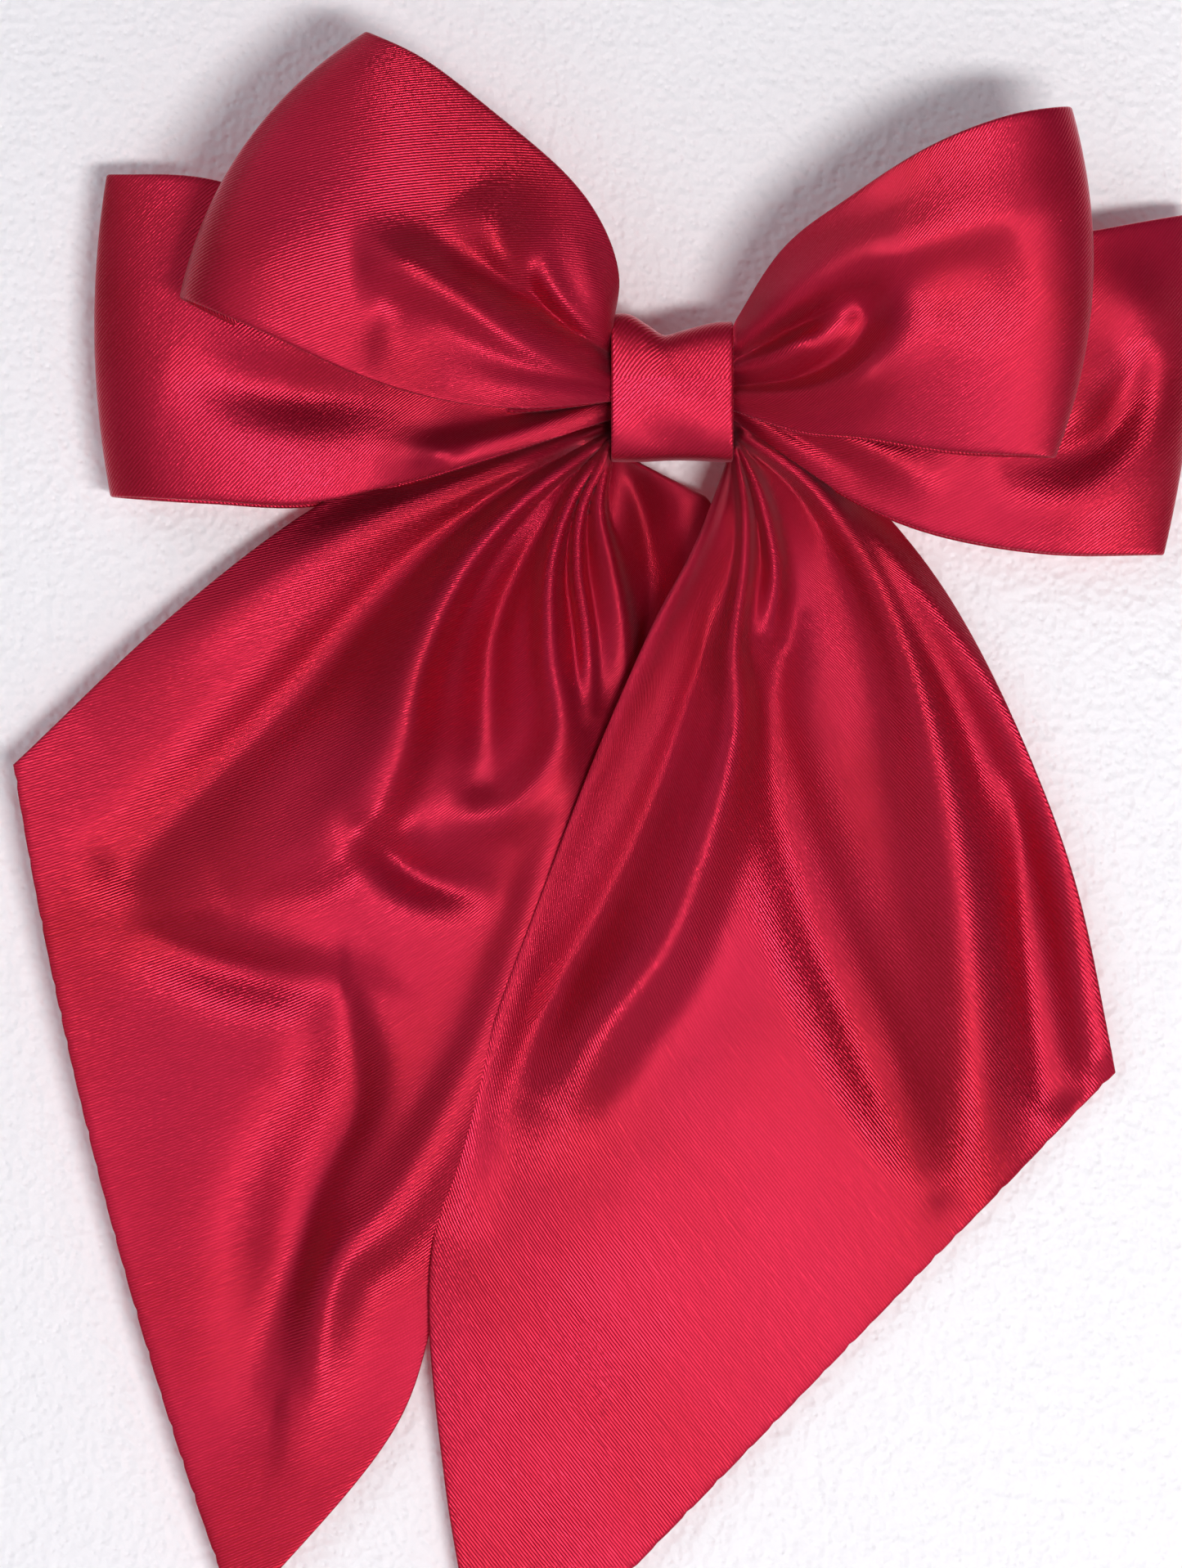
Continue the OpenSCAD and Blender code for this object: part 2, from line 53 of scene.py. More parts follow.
view_height = 325.9 * mm
camera_distance = 1.2
film = 36
camera = bpy.data.objects.new("camera", bpy.data.cameras.new("camera"))
camera.location = (view_x, -camera_distance, view_z)
camera.rotation_euler = (np.pi / 2, 0, 0)
camera.data.lens = film * camera_distance / view_height
camera.data.sensor_width = film
scene.collection.objects.link(camera)
scene.camera = camera


def add(tree, kind, sockets=(), **settings):
    """Adds a shader node. sockets gives its inputs by name or number: a value is set, an output linked."""
    node = tree.nodes.new("ShaderNode" + kind)
    for key, value in settings.items():
        setattr(node, key, value)
    for key, value in dict(sockets).items():
        if isinstance(value, bpy.types.NodeSocket):
            tree.links.new(value, node.inputs[key])
        else:
            node.inputs[key].default_value = value
    return node


def finish_named(name):
    """A new material with an empty node tree; returns it with its node tree."""
    material = bpy.data.materials.new(name)
    material.use_nodes = True
    material.node_tree.nodes.clear()
    return material, material.node_tree


def put_mesh(name, points, faces, material, smooth=True):
    """Puts a mesh of the given points (in mm, where they lie in the scene) and faces into the scene."""
    mesh = bpy.data.meshes.new(name)
    mesh.from_pydata((np.asarray(points, float) * mm).tolist(), [], np.asarray(faces).tolist())
    mesh.polygons.foreach_set("use_smooth", np.full(len(mesh.polygons), smooth))
    mesh.materials.append(material)
    piece = bpy.data.objects.new(name, mesh)
    scene.collection.objects.link(piece)
    return piece


grain, grain_tree = finish_named("leather_grain_white")
place = add(grain_tree, "TexCoord").outputs["Object"]
pebbles = add(grain_tree, "TexVoronoi", {"Vector": place, "Scale": 620.0}, feature="SMOOTH_F1")
swell = add(grain_tree, "TexNoise", {"Vector": place, "Scale": 260.0, "Detail": 3.0})
relief = add(grain_tree, "Math", {0: pebbles.outputs["Distance"], 1: swell.outputs["Fac"]}, operation="ADD")
bump = add(grain_tree, "Bump", {"Height": relief.outputs[0], "Strength": 1.0, "Distance": 0.5 * mm})
paper = add(grain_tree, "BsdfPrincipled", {
    "Base Color": (0.93, 0.915, 0.93, 1), "Roughness": 0.55, "Normal": bump.outputs[0]})
clear = add(grain_tree, "BsdfTransparent")
from_behind = add(grain_tree, "NewGeometry").outputs["Backfacing"]
shadow_ray = add(grain_tree, "LightPath").outputs["Is Shadow Ray"]
unseen = add(grain_tree, "Math", {0: from_behind, 1: shadow_ray}, operation="MAXIMUM")
one_sided = add(grain_tree, "MixShader", {0: unseen.outputs[0], 1: paper.outputs[0], 2: clear.outputs[0]})
add(grain_tree, "OutputMaterial", {"Surface": one_sided.outputs[0]})

backdrop_y, reach, floor_z = 5.3, 3200, -312
backdrop = put_mesh("backdrop", [
    (-reach, backdrop_y, floor_z), (reach, backdrop_y, floor_z),
    (reach, backdrop_y, reach), (-reach, backdrop_y, reach)], [(0, 1, 2, 3)], grain, smooth=False)
floor_finish, floor_tree = finish_named("pale_floor")
place = add(floor_tree, "TexCoord").outputs["Object"]
mottle = add(floor_tree, "TexNoise", {"Vector": place, "Scale": 9.0, "Detail": 4.0})
tone = add(floor_tree, "ValToRGB", {"Fac": mottle.outputs["Fac"]})
tone.color_ramp.elements[0].color = (0.80, 0.79, 0.80, 1)
tone.color_ramp.elements[1].color = (0.86, 0.85, 0.86, 1)
matt = add(floor_tree, "BsdfPrincipled", {"Base Color": tone.outputs[0], "Roughness": 0.7})
add(floor_tree, "OutputMaterial", {"Surface": matt.outputs[0]})
floor = put_mesh("floor", [
    (-reach, -reach, floor_z), (reach, -reach, floor_z),
    (reach, reach, floor_z), (-reach, reach, floor_z)], [(0, 1, 2, 3)], floor_finish, smooth=False)

world = bpy.data.worlds.new("studio")
world.use_nodes = True
world.node_tree.nodes.clear()
seen = add(world.node_tree, "LightPath").outputs["Is Camera Ray"]
studio_white = add(world.node_tree, "Background", {"Color": (0.95, 0.94, 0.95, 1), "Strength": 0.95})
studio_dim = add(world.node_tree, "Background", {"Color": (0.90, 0.90, 1.0, 1), "Strength": 0.2})
air = add(world.node_tree, "MixShader", {0: seen, 1: studio_dim.outputs[0], 2: studio_white.outputs[0]})
add(world.node_tree, "OutputWorld", {"Surface": air.outputs[0]})
scene.world = world


def soft_lamp(name, at, size, power, colour=(1, 1, 1)):
    """A square soft lamp at a point in metres, turned to the middle of the view."""
    lamp = bpy.data.objects.new(name, bpy.data.lights.new(name, "AREA"))
    lamp.data.size, lamp.data.energy, lamp.data.color = size, power, colour
    lamp.location = at
    aim = np.array([view_x, 0, view_z]) - at
    tilt = np.arccos(-aim[2] / np.linalg.norm(aim))
    lamp.rotation_euler = (tilt, 0, np.arctan2(aim[1], aim[0]) - np.pi / 2)
    scene.collection.objects.link(lamp)


soft_lamp("key_lamp", (0.27, -1.05, -0.39), 0.38, 26.5)
soft_lamp("fill_lamp", (-0.9, -1.4, 0.7), 1.2, 6, (0.92, 0.94, 1))
soft_lamp("back_lamp", (0.4, 1.5, 0.6), 1.2, 22)

# ---- Crimson satin ----
# The bow is cut from one polyester satin with a fine diagonal rib. It is dense and heavy for a ribbon,
# shines where it faces the light and goes deep crimson where it turns away.
satin, satin_tree = finish_named("crimson_satin")
rib_pitch, rib_slant = 0.6 * mm, np.radians(45)
radians_per_scale = 20
flat_place = add(satin_tree, "UVMap", uv_map="cloth").outputs[0]
turned = add(satin_tree, "Mapping", {"Vector": flat_place, "Rotation": (0, 0, rib_slant)}).outputs[0]
ribs = add(satin_tree, "TexWave", {
    "Vector": turned, "Scale": 2 * np.pi / (radians_per_scale * rib_pitch), "Distortion": 0.6,
    "Detail": 1.0, "Detail Scale": 1.5}, bands_direction="X")
slubs = add(satin_tree, "TexNoise", {"Vector": turned, "Scale": 1500.0, "Detail": 2.0})
dye = add(satin_tree, "TexNoise", {"Vector": flat_place, "Scale": 22.0, "Detail": 3.0})
depth = add(satin_tree, "Math", {0: ribs.outputs["Fac"], 1: slubs.outputs["Fac"]}, operation="MULTIPLY")
shade = add(satin_tree, "Math", {0: depth.outputs[0], 1: dye.outputs["Fac"]}, operation="ADD")
crimson = add(satin_tree, "ValToRGB", {"Fac": shade.outputs[0]})
crimson.color_ramp.elements[0].position, crimson.color_ramp.elements[1].position = 0.25, 1.05
crimson.color_ramp.elements[0].color = (0.30, 0.001, 0.006, 1)
crimson.color_ramp.elements[1].color = (0.46, 0.006, 0.042, 1)
gloss = add(satin_tree, "MapRange", {0: slubs.outputs["Fac"], 3: 0.32, 4: 0.43})
wrinkle = add(satin_tree, "TexNoise", {"Vector": flat_place, "Scale": 75.0, "Detail": 3.0})
creased = add(satin_tree, "Bump", {"Height": wrinkle.outputs["Fac"], "Strength": 0.3, "Distance": 0.9 * mm})
ribbed = add(satin_tree, "Bump", {
    "Height": depth.outputs[0], "Strength": 0.9, "Distance": 0.15 * mm, "Normal": creased.outputs[0]})
cloth = add(satin_tree, "BsdfPrincipled", {
    "Base Color": crimson.outputs[0], "Metallic": 0.74, "Roughness": gloss.outputs[0],
    "Normal": ribbed.outputs[0], "Sheen Weight": 0.12, "Sheen Roughness": 0.4,
    "Sheen Tint": (1.0, 0.45, 0.55, 1), "Specular IOR Level": 0.5})
add(satin_tree, "OutputMaterial", {"Surface": cloth.outputs[0]})


def through(points, t):
    """The smooth curve through the given points, with t from 0 at the first to 1 at the last: between two
    points it is the cubic whose slopes at both are half the step between their neighbours."""
    p = np.asarray(points, float).reshape(len(points), -1)
    p = np.vstack([2 * p[0] - p[1], p, 2 * p[-1] - p[-2]])
    u = np.clip(t, 0, 1) * (len(p) - 3)
    k = np.minimum(u.astype(int), len(p) - 4)
    f = (u - k)[..., None]
    a, b, c, d = p[k], p[k + 1], p[k + 2], p[k + 3]
    square, cube = 2 * a - 5 * b + 4 * c - d, 3 * b - a - 3 * c + d
    return (2 * b + (c - a) * f + square * f ** 2 + cube * f ** 3) / 2


def ramp(t):
    """Eases from 0 at t = 0 to 1 at t = 1: 3 t squared less 2 t cubed."""
    t = np.clip(t, 0, 1)
    return t * t * (3 - 2 * t)


def raised(place, folds):
    """How far folded cloth stands up at each place (x, z), in mm. A fold follows a smooth line. Its height
    is that of its crest times exp(-(distance from the line / width) squared); crest and width change
    along the line, and lean makes the side on the line's left wider and the other narrower."""
    flat = place.reshape(-1, 2)
    total = np.zeros(len(flat))
    rows = np.arange(len(flat))
    for line, crests, widths, lean in folds:
        path = through(line, np.linspace(0, 1, 33))
        step = np.diff(path, axis=0)
        off = flat[:, None] - path[:-1]
        along = np.clip((off * step).sum(-1) / (step ** 2).sum(-1), 0, 1)
        gap = off - along[..., None] * step
        near = (gap ** 2).sum(-1).argmin(1)
        gap, t = gap[rows, near], (near + along[rows, near]) / len(step)
        left = np.sign(step[near, 0] * gap[:, 1] - step[near, 1] * gap[:, 0])
        width = through(widths, t)[:, 0] * (1 + lean * left)
        total += through(crests, t)[:, 0] * np.exp(-(gap ** 2).sum(-1) / width ** 2)
    return total.reshape(place.shape[:-1])


def steps_across(width, thick, count):
    """Even steps from 0 to 1 across cloth of that width, with extra ones at both edges to round them, and
    for each the share of its thickness there: sqrt(1 - (1 - distance from the edge / radius) squared)."""
    edge = np.array([0, 0.13, 0.5, 1]) * thick / 2 / width
    v = np.concatenate([edge, np.linspace(edge[-1], 1 - edge[-1], count)[1:-1], 1 - edge[::-1]])
    inside = np.clip(np.minimum(v, 1 - v) * width / (thick / 2), 0, 1)
    return v, np.sqrt(1 - (1 - inside) ** 2)


def ribbon(name, middle, half, spread, ring):
    """Cloth with two faces. middle[i, j] is its middle surface in mm, i along and j across, and the faces
    stand half[i, j] to either side, square to it, so they meet where half is 0. spread[i, j] is each
    point's place on the flat cloth in mm. A ring closes along i, and its spread has one row more."""
    n, m = middle.shape[:2]
    along = np.roll(middle, -1, 0) - np.roll(middle, 1, 0) if ring else np.gradient(middle, axis=0)
    normal = np.cross(along, np.gradient(middle, axis=1))
    shift = normal / np.linalg.norm(normal, axis=-1, keepdims=True) * half[..., None]
    front = np.arange(n * m).reshape(n, m)
    back = np.where(half > 0, front + n * m, front)
    here = np.arange(n if ring else n - 1)

    def quads(number, after):
        corners = number[here][:, :-1], number[after][:, :-1], number[after][:, 1:], number[here][:, 1:]
        return np.stack(corners, -1).reshape(-1, 4)

    faces = np.concatenate([quads(front, (here + 1) % n), quads(back, (here + 1) % n)[:, ::-1]])
    used, faces = np.unique(faces, return_inverse=True)
    points = np.concatenate([(middle + shift).reshape(-1, 3), (middle - shift).reshape(-1, 3)])[used]
    piece = put_mesh(name, points, faces.reshape(-1, 4), satin)
    flat = quads(np.arange(len(spread) * m).reshape(-1, m), here + 1)
    flat = np.concatenate([flat, flat[:, ::-1]])
    piece.data.uv_layers.new(name="cloth")
    piece.data.uv_layers["cloth"].data.foreach_set("uv", (spread.reshape(-1, 2)[flat] * mm).ravel())
    return piece


def unrolled(middle, v, width):
    """A ring's flat places, and its length in mm: each row lies as far along as the steps between the
    middles of the rows before it add up to, and a row once round closes it. v goes across its width."""
    centre = middle[:, len(v) // 2]
    length = np.cumsum(np.linalg.norm(np.diff(np.vstack([centre, centre[:1]]), axis=0), axis=1))
    length = np.concatenate([[0], length])
    return np.stack(np.meshgrid(length, v * width, indexing="ij"), -1), length[-1]


# ---- Loops ----
# Each pair of loops is one ribbon, folded double so that its edges are clean, closed into a ring and
# pinched at its middle with thread. The front pair stands up from the knot, the longer back pair lies
# flat behind it. The pleats start at the knot and open into soft ridges before the fold.
loop_w, loop_t = 68, 1.2
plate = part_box("clip_base")[0].y / mm
front_y = (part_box("front_gather_thread")[0].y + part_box("front_gather_thread")[1].y) / 2 / mm
back_y = (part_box("back_gather_thread")[0].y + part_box("back_gather_thread")[1].y) / 2 / mm
wall_gap, pinch_x = 1.4, 1.6
loop_steps, turn_steps = 54, 150
crown_fall = 0.6
plate_bend, plate_clear, plate_half = 320, 1.8, 42


def lobe(side, top, bottom, bulge, knot_y, sweep, puff, crest, front_folds, back_folds, turn, v):
    """One loop. turn goes from the front wall at the knot (0) over the fold (180) to the back wall (360),
    and a = sin(turn / 2) is how far out that is. In x and z a point lies between the bottom and the top
    edge, and the fold bows outwards. In y it is the knot's depth, plus sweep * a, less wall_gap *
    cos(turn / 2), less puff * crown * sin(turn), which swells both walls. The crown is 1 on the crest and
    1 - crown_fall at the edge farther from it. Each wall's own folds are added and fade at the fold, and
    behind the knot the back wall stays before plate + x squared / plate_bend - plate_clear."""
    a = np.sin(turn / 2)
    low, high = through(bottom, a), through(top, a)
    place = low + (high - low) * v[..., None]
    chord = np.subtract(top[-1], bottom[-1])
    outwards = side * np.array([chord[1], -chord[0]]) / np.hypot(*chord)
    place = place + (bulge * 4 * v * (1 - v) * a ** 2)[..., None] * outwards
    crown = 1 - crown_fall * ((v - crest) / max(crest, 1 - crest)) ** 2
    y = knot_y + sweep * a - wall_gap * np.cos(turn / 2) - puff * crown * np.sin(turn)
    facing = np.cos(turn / 2)
    y = y - raised(place, front_folds) * ramp(facing * 5) + raised(place, back_folds) * ramp(-facing * 5)
    seat = plate + place[..., 0] ** 2 / plate_bend - plate_clear
    behind = (facing < 0) & (np.abs(place[..., 0]) < plate_half)
    y = np.where(behind, np.minimum(y, seat), y)
    return np.stack([place[..., 0], y, place[..., 1]], -1)


def pair_of_loops(name, left, right, knot_y, low, high):
    """A ring of ribbon: across the pinched middle in front, round the right loop, back across the middle
    behind, and round the left loop."""
    v, round_edge = steps_across(loop_w, loop_t, loop_steps)
    turn, across = np.meshgrid(np.linspace(0, 2 * np.pi, turn_steps), v, indexing="ij")

    def pinched(x, y):
        return np.stack([np.full_like(v, x), np.full_like(v, y), low + (high - low) * v], -1)[None]

    middle = np.concatenate([
        pinched(-pinch_x, knot_y - wall_gap), pinched(pinch_x, knot_y - wall_gap),
        lobe(1, *right, turn, across),
        pinched(pinch_x, knot_y + wall_gap), pinched(-pinch_x, knot_y + wall_gap),
        lobe(-1, *left, turn[::-1], across)])
    half = np.broadcast_to(loop_t / 2 * round_edge, middle.shape[:2])
    spread, length = unrolled(middle, v, loop_w)
    piece = ribbon(name, middle, half, spread, ring=True)
    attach(piece, "bow")
    return piece, length


front_left = (
    [(-12.5, 11.6), (-11.2, 21.1), (-14.5, 31.1), (-22, 41), (-36.9, 53.5), (-50.1, 63.4), (-61.7, 69.2)],
    [(-12.5, -4.6), (-30, -6.6), (-47, -5.4), (-64, -0.6), (-82, 7.5), (-99.5, 15.3)],
    7, front_y, -12, 14, 0.1,
    [
        ([(-21, 10), (-28, 19), (-35, 28), (-42, 37)], (0.5, 3.2, 4.4, 0), (2, 3.8, 6.5, 10), 0),
        ([(-12.5, 4.8), (-21.6, 10.5), (-28.6, 19), (-31.5, 29)], (-1.4, -3, -4.4, -1),
         (1.2, 1.9, 2.6, 4), 0),
        ([(-21, 9.5), (-31, 16.6), (-41, 23.6)], (-1.4, -3.8, -0.6), (1.8, 3, 4), 0),
        ([(-12.5, -0.4), (-23.5, 3.2), (-32, 7.5), (-44, 15.6), (-54, 20.6), (-64, 20)],
         (1.2, 2.6, 3.6, 5, 5.4, 0), (1.5, 3, 4, 5, 6, 8), 0),
        ([(-55, 18), (-57, 9), (-58.5, 0)], (0, -1.3, -0.4), (3, 4.5, 5), 0.2),
        ([(-12, 9), (-16, 19), (-22, 31)], (1, 1.8, 0), (2, 4, 6), 0),
        ([(-12.5, -3), (-30, -2.4), (-46, 0)], (1, 1.6, 0), (1.5, 2.6, 4), 0),
        ([(-60, 60), (-76, 44), (-90, 24)], (0, -2.2, 0), (12, 14, 12), 0),
    ],
    [([(-12.5, 8), (-25, 18), (-38, 28)], (1, 1.5, 0), (2, 4, 8), 0)],
)
front_right = (
    [(12.5, 10.4), (22.8, 26.1), (36.1, 36), (51, 45.2), (65.9, 51), (80, 53.8)],
    [(12.5, -6.5), (26.1, -11.2), (39.4, -12.8), (57, -15.8), (76.7, -17)],
    6, front_y, -15, 11, 1.3,
    [
        ([(11.5, 5.4), (17, 9.8), (24, 15), (35.4, 21), (50.8, 26), (66.1, 31), (78, 34.6)],
         (1, 3, 4.6, 4.2, 2.6, 1.4, 0.2), (1.5, 2.6, 4.4, 6, 6.4, 7, 7), 0.35),
        ([(14, 4.4), (21, 8), (28, 12), (35, 16)], (-0.6, -2.8, -4.4, -2), (1.2, 2, 3, 4), 0),
        ([(11.5, -1.6), (23.1, -0.6), (31, 2.2), (37.6, 7.6), (40, 13), (39, 19)],
         (-1.6, -2.8, -4, -5, -4.6, -1), (1.2, 2, 2.8, 3.6, 4, 4), 0),
        ([(12, -4.4), (26, -4.4), (38, -1.4), (47, 6), (50, 16)], (1, 1.8, 2.2, 1.4, 0),
         (1.6, 3, 4.4, 6, 7), 0),
        ([(12.5, 1.6), (20, 3.6), (26, 6.6), (30, 10)], (1, 2.4, 2.4, 0), (1, 1.6, 2, 2), 0),
        ([(52, 10), (62, 17), (72, 22)], (0, -1.3, 0), (7, 9, 8), 0),
    ],
    [([(12.5, 6), (28, 12), (44, 18)], (1, 1.5, 0), (2, 4, 8), 0)],
)
back_left = (
    [(-12.5, 9.4), (-38, 20), (-66, 31), (-93.8, 41.3), (-116.1, 43)],
    [(-12.5, -8), (-37.3, -15.8), (-54.1, -20.8), (-75, -25.5), (-96, -24.8), (-115.3, -23.7)],
    3, back_y, 4, 7.5, 0.15,
    [
        ([(-13, -5), (-28, -10), (-44, -15), (-62, -17.5)], (1, 2.4, 3.4, 0), (1.2, 2.4, 4, 6), 0),
        ([(-13, -2.4), (-28, -6), (-46, -9)], (-1, -2.4, 0), (1.2, 2.4, 4), 0),
        ([(-50, -4), (-76, -3), (-104, 2)], (0, -3, 0), (6, 7, 7), 0),
        ([(-62, 10), (-84, 12), (-100, 22)], (0, 1, 0), (8, 8, 8), 0),
        ([(-50, -20.5), (-47, -17), (-43, -13)], (0, 1.6, 0), (4, 4, 4), 0),
    ],
    [([(-40, 4), (-60, 6), (-85, 8)], (0, 1.5, 0), (4, 7, 9), 0)],
)
back_right = (
    [(12.5, 9.4), (40, 21), (65, 27), (86.9, 30.7), (108, 34.8)],
    [(12.5, -8), (24, -15.8), (38, -25), (55.6, -31.8), (78, -35.5), (101.2, -35.7)],
    2.5, back_y, 4, 7.5, 0.7,
    [
        ([(97, 8), (93, -4), (85, -14), (66, -19)], (0, -3.6, -3.4, 0), (4, 5, 5, 6), 0),
        ([(104, 0), (98, -16), (84, -26), (64, -26)], (0, 1.4, 1.4, 0), (5, 6, 6, 7), 0),
        ([(13, -3.5), (28, -9), (44, -15.6), (58, -20)], (1, 2.6, 2.6, 0), (1.2, 2.4, 4, 6), 0),
        ([(13, -5.8), (24, -13), (38, -21.6)], (1, 2, 0), (1.2, 2, 3), 0),
        ([(85, 24), (95, 16), (104, 18)], (0, 1.5, 0), (6, 7, 5), 0),
    ],
    [([(40, 4), (60, 4), (85, 4)], (0, 1.5, 0), (4, 7, 9), 0)],
)
front_loops, front_length = pair_of_loops("front_satin_loops", front_left, front_right, front_y, -4.8, 5.6)
back_loops, back_length = pair_of_loops("back_satin_loops", back_left, back_right, back_y, -6, 5.4)
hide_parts("front_loops")
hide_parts("back_loops")

# ---- Tails ----
# Two wide strips of the same satin, one layer thick. Their tops are gathered side by side under the
# knot, from where they fan out in pleats and lie back; the right one lies over the left. The lower ends
# are cut on the slant with a hot knife, which leaves a sealed edge with small nicks.
tail_t = 0.9
strip_w, short_edge, long_edge = 145, 146, 262
gather_low, gather_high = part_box("left_tail")[1].z / mm - 7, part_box("left_tail")[1].z / mm
knot_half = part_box("centre_band")[1].x / mm
rest_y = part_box("clasp_arm")[1].y / mm - 0.4
left_knot_y, right_knot_y = [(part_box(name)[0].y + 1.3 * mm) / mm for name in ("left_tail", "right_tail")]
knot_rows, tail_rows, tail_steps = 6, 178, 124
gather_run = 25
dome_reach, rest_dome = 0.45, 3
nick_depth, nick_rate = 0.28, 160


def tail(name, side, inner, outer, knot_y, lie, cut_bow, folds, dome):
    """One tail. s goes across from the inner edge (0) to the outer edge (1) and t along from the knot (0)
    to the cut end (1). In x and z a point lies between the two edge curves, and the cut end bows by
    cut_bow and has small nicks. In y it eases from the knot's depth to the depth it lies at, and stands
    up by its folds and by a dome across its width: sin(pi s) times dome * exp(-(t / dome_reach) squared)
    + rest_dome, eased to 0 at the knot and rest_dome at the cut end too. What would sink below the depth
    that it rests at is held up smoothly: height becomes (height + sqrt(height squared + 4)) / 2."""
    s, round_side = steps_across(strip_w, tail_t, tail_steps)
    t, round_end = steps_across(long_edge, tail_t, tail_rows)
    ends = np.where(t > 0.5, round_end, 1)
    grid_t, grid_s = np.meshgrid(t, s, indexing="ij")
    nicks = -nick_depth * np.clip(np.sin(nick_rate * grid_s + 3 * np.sin(9 * grid_s)), 0, 1) ** 6
    low, high = through(inner, grid_t), through(outer, grid_t)
    place = low + (high - low) * grid_s[..., None]
    cut = np.subtract(outer[-1], inner[-1])
    outwards = -side * np.array([-cut[1], cut[0]]) / np.hypot(*cut)
    bow = (cut_bow * 4 * grid_s * (1 - grid_s) + nicks * ramp((grid_t - 0.97) / 0.03)) * grid_t ** 2
    place = place + bow[..., None] * outwards
    y = knot_y + (lie(grid_s, grid_t) - knot_y) * ramp(2.6 * grid_t)
    swell = dome * np.exp(-(grid_t / dome_reach) ** 2) * ramp(4 * grid_t)
    swell = swell + rest_dome * ramp(4 * grid_t) * ramp(4 - 4 * grid_t)
    y = y - swell * np.sin(np.pi * grid_s)
    height = rest_y - y + raised(place, folds) * ramp(18 * grid_t)
    y = rest_y - (height + np.sqrt(height ** 2 + 4)) / 2
    fan = np.stack([place[..., 0], y, place[..., 1]], -1)
    x = side * np.linspace(1 - knot_half, knot_half, knot_rows + 1)[:-1, None]
    inside = np.stack(np.broadcast_arrays(x, knot_y, gather_low + (gather_high - gather_low) * s), -1)
    middle = np.concatenate([inside, fan])
    end_share = np.concatenate([np.ones(knot_rows), ends])
    end_share[0] = 0
    half = tail_t / 2 * end_share[:, None] * round_side
    length = (long_edge + (short_edge - long_edge) * s) * np.concatenate([np.zeros(knot_rows), t])[:, None]
    gathered = np.linspace(-gather_run, 0, knot_rows + 1)[:-1]
    length = length + np.concatenate([gathered, np.zeros(len(t))])[:, None]
    spread = np.stack(np.broadcast_arrays(s * strip_w, length), -1)
    piece = ribbon(name, middle, half, spread, ring=False)
    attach(piece, "bow")
    return piece


left_tail = tail(
    "left_satin_tail", -1,
    [(-12.5, gather_low), (0, -21.5), (9, -27), (8, -54), (-4, -92), (-24, -140), (-46, -185), (-58, -218),
     (-90, -256)],
    [(-12.5, gather_high), (-26, -8.5), (-44, -12.5), (-73.1, -25), (-105, -49.5), (-136, -79)],
    left_knot_y, lambda s, t: rest_y - 0.8 - 4.5 * s * ramp(2 * t - 0.6) - 5 * t ** 4, 4.5,
    [
        ([(-12.6, -9.6), (-36, -18), (-66, -31), (-92, -48), (-122, -70)], (1.2, 3.4, 4, 2.6, 0),
         (0.8, 3, 5, 6, 8), 0),
        ([(-13, -10.4), (-34, -22), (-59, -42), (-82, -68), (-112, -98)], (-1, -2.6, -5, -6.4, -3),
         (0.6, 2.4, 5, 7, 8), 0),
        ([(-12.6, -11.6), (-30, -24), (-43, -39), (-52, -58), (-57, -77), (-68, -95), (-92, -107)],
         (1.6, 5, 6.4, 7.4, 7.4, 6, 1.5), (0.7, 2.4, 3.8, 5.6, 8, 9, 9), -0.3),
        ([(-24, -26), (-31.5, -38), (-37, -52), (-38.5, -68), (-40, -80)], (-1, -3.4, -4.6, -5, -2),
         (1.6, 2.8, 4, 5.4, 6), 0),
        ([(-12.6, -12.7), (-20.5, -24), (-24.8, -38), (-25, -55), (-23, -74), (-32, -88), (-48, -92)],
         (1.8, 4.4, 5.4, 5.6, 5, 4.4, 1), (0.6, 1.4, 2.1, 3.2, 4.4, 5, 5), 0),
        ([(-12.7, -13.4), (-18.4, -26), (-19.4, -38), (-17.6, -52), (-17, -68)], (1.4, 4, 4.4, 3.6, 1),
         (0.5, 1, 1.4, 1.6, 2), 0),
        ([(-12.6, -14), (-14.6, -26), (-12, -38), (-9.6, -50), (-9, -62)], (1.4, 4.6, 5.4, 4.6, 1.5),
         (0.6, 1.6, 2.8, 3.4, 4), -0.5),
        ([(-9, -17), (-5, -29), (-4, -48), (-10, -74)], (-1, -5, -5, 0), (2, 4.4, 5, 5), 0),
        ([(-16, -70), (-27, -106), (-40, -141), (-56, -169), (-71, -185), (-80, -216)],
         (1, 3.4, 4.6, 6, 6, 1), (4, 6, 7, 7, 6, 8), 0.1),
        ([(-66, -92), (-52, -102), (-36, -105)], (-1, -4.6, -0.5), (4, 4.6, 5), 0),
        ([(-112, -114), (-88, -121), (-64, -124)], (-0.6, -4, -1), (5, 5.4, 6), -0.3),
        ([(-110, -107), (-92, -111), (-68, -114)], (0, 1.4, 0), (4, 5, 5), 0),
        ([(-67, -128), (-66, -148), (-76, -172), (-80, -206)], (-2, -6, -6, -2), (5, 8, 8, 8), -0.4),
    ], 9)
